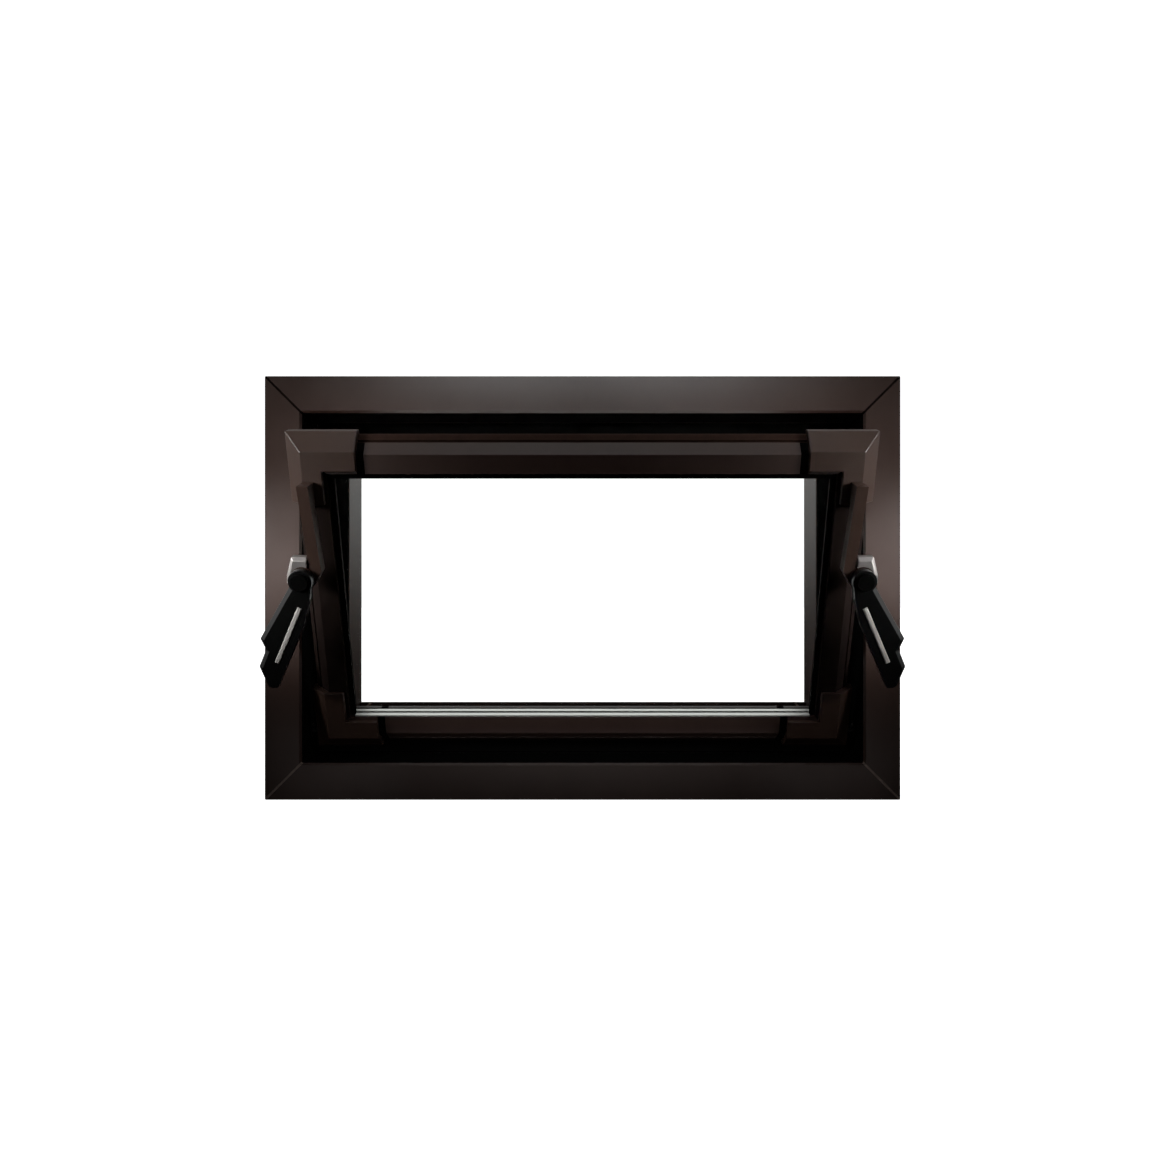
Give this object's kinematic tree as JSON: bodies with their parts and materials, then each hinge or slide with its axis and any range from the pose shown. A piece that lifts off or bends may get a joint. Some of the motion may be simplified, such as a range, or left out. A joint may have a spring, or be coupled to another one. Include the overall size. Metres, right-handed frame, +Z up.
{
  "type": "hopper window",
  "caption": "Bottom-hung hopper window: mitred plastic frame, tilted sash with bevelled corner pieces and insulating glass, and black turning levers on stay arms.",
  "frame": {"origin": "middle of the sill's underside, half way through the frame's depth", "axes": "+Z up, -Y towards the room the sash opens into, +Y outside, +X to the right seen from the room"},
  "size_m": [0.6, 0.1643, 0.4],
  "materials": {
    "brown_plastic": "dark brown moulded and extruded plastic, satin",
    "black_plastic": "black moulded plastic, smooth",
    "black_rubber": "black sealing rubber",
    "clear_glass": "clear float glass",
    "bare_aluminium": "mill-finish aluminium",
    "grey_plastic": "dark grey bearing plastic",
    "steel": "blackened steel pin",
    "zinc": "zinc die-casting, tumbled bright",
    "pale_plastic": "light grey strip let into the lever"
  },
  "bodies": {
    "frame": {"frame_sill": "brown_plastic", "frame_head": "brown_plastic", "frame_jamb_left": "brown_plastic", "frame_jamb_right": "brown_plastic", "weather_bar": "brown_plastic", "stop_gasket": "black_rubber", "hinge_bush_left": "grey_plastic", "hinge_bush_right": "grey_plastic"},
    "sash": {"sash_rail_bottom": "brown_plastic", "sash_rail_top": "brown_plastic", "sash_stile_left": "brown_plastic", "sash_stile_right": "brown_plastic", "corner_top_left": "brown_plastic", "corner_top_right": "brown_plastic", "corner_bottom_left": "brown_plastic", "corner_bottom_right": "brown_plastic", "pane_inner": "clear_glass", "pane_outer": "clear_glass", "spacer_bar": "bare_aluminium", "glazing_gasket": "black_rubber", "glazing_bead": "brown_plastic", "hinge_pin_left": "steel", "hinge_pin_right": "steel", "stay_arm_left": "brown_plastic", "stay_arm_right": "brown_plastic", "catch_left": "zinc", "catch_right": "zinc", "lever_pin_left": "black_plastic", "lever_pin_right": "black_plastic"},
    "lever_left": {"lever_left": "black_plastic", "lever_strip_left": "pale_plastic"},
    "lever_right": {"lever_right": "black_plastic", "lever_strip_right": "pale_plastic"}
  },
  "joints": [
    {"name": "sash_tilt", "type": "hinge", "parent": "frame", "child": "sash", "pos_m": [0, -0.00635, 0.06025], "axis": [-1, 0, 0], "range_deg": [0, 19]},
    {"name": "lever_left_turn", "type": "hinge", "parent": "sash", "child": "lever_left", "pos_m": [-0.2457, -0.10317, 0.20628], "axis": [0, -0.9455, -0.3256], "range_deg": [0, 35]},
    {"name": "lever_right_turn", "type": "hinge", "parent": "sash", "child": "lever_right", "pos_m": [0.2457, -0.10317, 0.20628], "axis": [0, 0.9455, 0.3256], "range_deg": [0, 35]}
  ]
}
